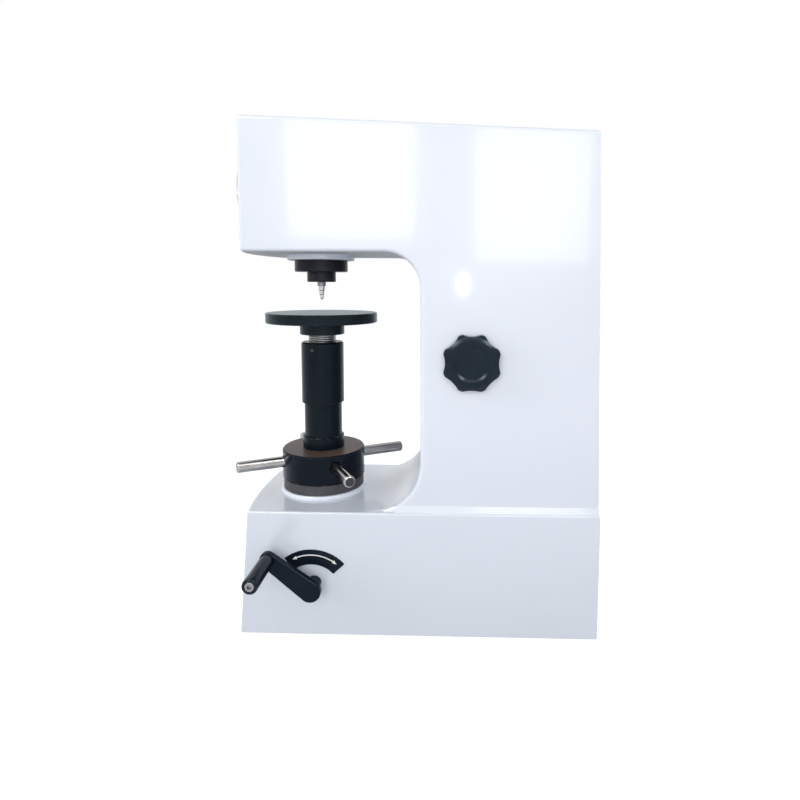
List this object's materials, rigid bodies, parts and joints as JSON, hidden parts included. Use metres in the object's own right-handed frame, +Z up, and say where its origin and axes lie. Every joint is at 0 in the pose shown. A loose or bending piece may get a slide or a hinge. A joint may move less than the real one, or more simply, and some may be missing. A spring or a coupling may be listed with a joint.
{
  "type": "hardness tester",
  "caption": "Bench indentation hardness tester: C-shaped cast frame, screw-raised test table with capstan, indenter spindle, weight-lever loading with side handle and load knob, front dial.",
  "frame": {"origin": "on the bench plane, straight under the test axis, which is the common axis of indenter, table and elevating screw", "axes": "+Z up along the test axis, -Y towards the operator at the front of the machine, +X to the operator's right, the side with the load handle and the load knob"},
  "size_m": [0.2873, 0.4676, 0.6423],
  "materials": {
    "paint_white": "gloss white stove enamel, faintly blue",
    "zinc": "zinc plated",
    "bronze": "machined bronze",
    "dark_ring": "dark grey machined iron",
    "bearing_steel": "ground steel",
    "black_capstan": "black oxide, semi-gloss",
    "polished_steel": "polished steel",
    "black_sleeve": "blued steel, semi-gloss",
    "screw_steel": "bright turned steel, oiled",
    "black_table": "black oxide with a lapped face",
    "black_collar": "black oxide",
    "tip_steel": "bright steel",
    "machined_steel": "machined steel",
    "weight_iron": "cast iron, turned",
    "black_plastic": "moulded phenolic, gloss",
    "plate_black": "printed aluminium plate, black",
    "black_handle": "black enamel",
    "chrome_rim": "turned rim",
    "dial_glass": "clear",
    "dial_white": "white dial",
    "pointer_black": "black"
  },
  "bodies": {
    "frame": {"frame_casting": "paint_white", "top_cover": "paint_white", "top_cover_screws": "zinc", "rear_cover": "paint_white", "rear_cover_screws": "zinc", "leveling_feet": "zinc", "guide_sleeve": "bronze", "bearing_ring": "dark_ring", "thrust_race": "bearing_steel", "spindle_sleeve": "bronze", "spindle_guard": "black_collar", "fulcrum_bracket": "machined_steel", "measuring_bracket": "machined_steel", "dial_case": "machined_steel", "handle_bushing": "bronze", "direction_plate": "plate_black", "camshaft_bracket": "machined_steel", "dashpot_cylinder": "machined_steel", "dashpot_cap": "machined_steel", "fork_guide": "machined_steel"},
    "capstan_body": {"capstan": "black_capstan", "capstan_rods": "polished_steel", "elevating_nut": "bronze", "lower_sleeve": "black_sleeve"},
    "screw_body": {"elevating_screw": "screw_steel", "upper_sleeve": "black_sleeve", "sleeve_grub_screw": "zinc"},
    "table_body": {"anvil_table": "black_table"},
    "spindle_body": {"spindle": "bearing_steel", "spindle_nose": "black_collar", "indenter_set_screw": "black_collar", "indenter_holder": "black_collar", "indenter_tip": "tip_steel"},
    "lever_body": {"main_lever": "machined_steel", "lever_knives": "bearing_steel", "lever_push_rod": "machined_steel"},
    "hanger_body": {"hanger_stirrup": "machined_steel", "hanger_rod": "machined_steel", "base_weight": "weight_iron"},
    "fork_body": {"weight_fork": "machined_steel", "weight_a": "weight_iron", "weight_b": "weight_iron"},
    "knob_body": {"selector_knob": "black_plastic", "selector_shaft": "machined_steel", "selector_cam": "machined_steel"},
    "handle_body": {"handle_arm": "black_handle", "handle_shaft": "machined_steel", "handle_crank": "machined_steel", "grip_screw": "tip_steel"},
    "grip_body": {"handle_grip": "black_plastic"},
    "link_body": {"connecting_rod": "machined_steel"},
    "camshaft_body": {"camshaft": "machined_steel", "lifting_cam": "bearing_steel"},
    "piston_body": {"piston_rod": "bearing_steel"},
    "measuring_lever_body": {"measuring_lever": "machined_steel"},
    "plunger_body": {"measuring_plunger": "bearing_steel"},
    "pointer_body": {"long_pointer": "pointer_black"},
    "bezel_body": {"dial_bezel": "chrome_rim", "dial_glass": "dial_glass", "dial_face": "dial_white"}
  },
  "joints": [
    {"name": "handle_turn", "type": "hinge", "parent": "frame", "child": "handle_body", "pos_m": [0.095, 0.0076, 0.0699], "axis": [-1, 0, 0], "range_deg": [0, 110]},
    {"name": "grip_spin", "type": "hinge", "parent": "handle_body", "child": "grip_body", "pos_m": [0.122, -0.04356, 0.10902], "axis": [1, 0, 0], "continuous": true},
    {"name": "link_pivot", "type": "hinge", "parent": "handle_body", "child": "link_body", "pos_m": [0.0633, 0.03143, 0.05168], "axis": [-1, 0, 0], "range_deg": [-110, 0]},
    {"name": "camshaft_turn", "type": "hinge", "parent": "frame", "child": "camshaft_body", "pos_m": [0, 0.266, 0.0699], "axis": [-1, 0, 0], "range_deg": [0, 110]},
    {"name": "piston_slide", "type": "slide", "parent": "frame", "child": "piston_body", "axis": [0, 0, 1], "range_m": [-0.0059, 0]},
    {"name": "hanger_slide", "type": "slide", "parent": "frame", "child": "hanger_body", "axis": [0, 0, 1], "range_m": [-0.0059, 0]},
    {"name": "lever_tilt", "type": "hinge", "parent": "frame", "child": "lever_body", "pos_m": [0, -0.014, 0.602], "axis": [-1, 0, 0], "range_deg": [0, 1.21]},
    {"name": "spindle_slide", "type": "slide", "parent": "frame", "child": "spindle_body", "axis": [0, 0, 1], "range_m": [-0.0003, 0]},
    {"name": "measuring_tilt", "type": "hinge", "parent": "frame", "child": "measuring_lever_body", "pos_m": [-0.044, -0.008, 0.5], "axis": [-1, 0, 0], "range_deg": [0, 1.35]},
    {"name": "plunger_slide", "type": "slide", "parent": "frame", "child": "plunger_body", "axis": [0, 0, 1], "range_m": [0, 0.00125]},
    {"name": "pointer_turn", "type": "hinge", "parent": "frame", "child": "pointer_body", "pos_m": [0, -0.087, 0.562], "axis": [0, -1, 0], "range_deg": [-531.5, 0]},
    {"name": "capstan_turn", "type": "hinge", "parent": "frame", "child": "capstan_body", "pos_m": [0, 0, 0.197], "axis": [0, 0, -1], "range_deg": [-2700, 900]},
    {"name": "screw_slide", "type": "slide", "parent": "frame", "child": "screw_body", "axis": [0, 0, 1], "range_m": [-0.045, 0.015]},
    {"name": "table_swivel", "type": "hinge", "parent": "screw_body", "child": "table_body", "pos_m": [0, 0, 0.389], "axis": [0, 0, 1], "continuous": true},
    {"name": "knob_turn", "type": "hinge", "parent": "frame", "child": "knob_body", "pos_m": [0.09, 0.2018, 0.348], "axis": [1, 0, 0], "range_deg": [0, 240]},
    {"name": "fork_slide", "type": "slide", "parent": "frame", "child": "fork_body", "axis": [0, 0, 1], "range_m": [-0.008, 0]},
    {"name": "bezel_turn", "type": "hinge", "parent": "frame", "child": "bezel_body", "pos_m": [0, -0.088, 0.562], "axis": [0, -1, 0], "continuous": true}
  ],
  "couplings": [
    {"joint": "link_pivot", "follows": "handle_turn", "ratio": -1},
    {"joint": "camshaft_turn", "follows": "handle_turn", "ratio": 1},
    {"joint": "piston_slide", "follows": "handle_turn", "m_per_rad": -0.0030731},
    {"joint": "hanger_slide", "follows": "handle_turn", "m_per_rad": -0.0030731},
    {"joint": "lever_tilt", "follows": "handle_turn", "ratio": 0.010975},
    {"joint": "spindle_slide", "follows": "handle_turn", "m_per_rad": -0.00015366},
    {"joint": "measuring_tilt", "follows": "handle_turn", "ratio": 0.012242},
    {"joint": "plunger_slide", "follows": "handle_turn", "m_per_rad": 0.00063658},
    {"joint": "pointer_turn", "follows": "handle_turn", "ratio": -4.8273},
    {"joint": "screw_slide", "follows": "capstan_turn", "m_per_rad": 0.00095493},
    {"joint": "knob_turn", "follows": "fork_slide", "rad_per_m": -523.6}
  ]
}
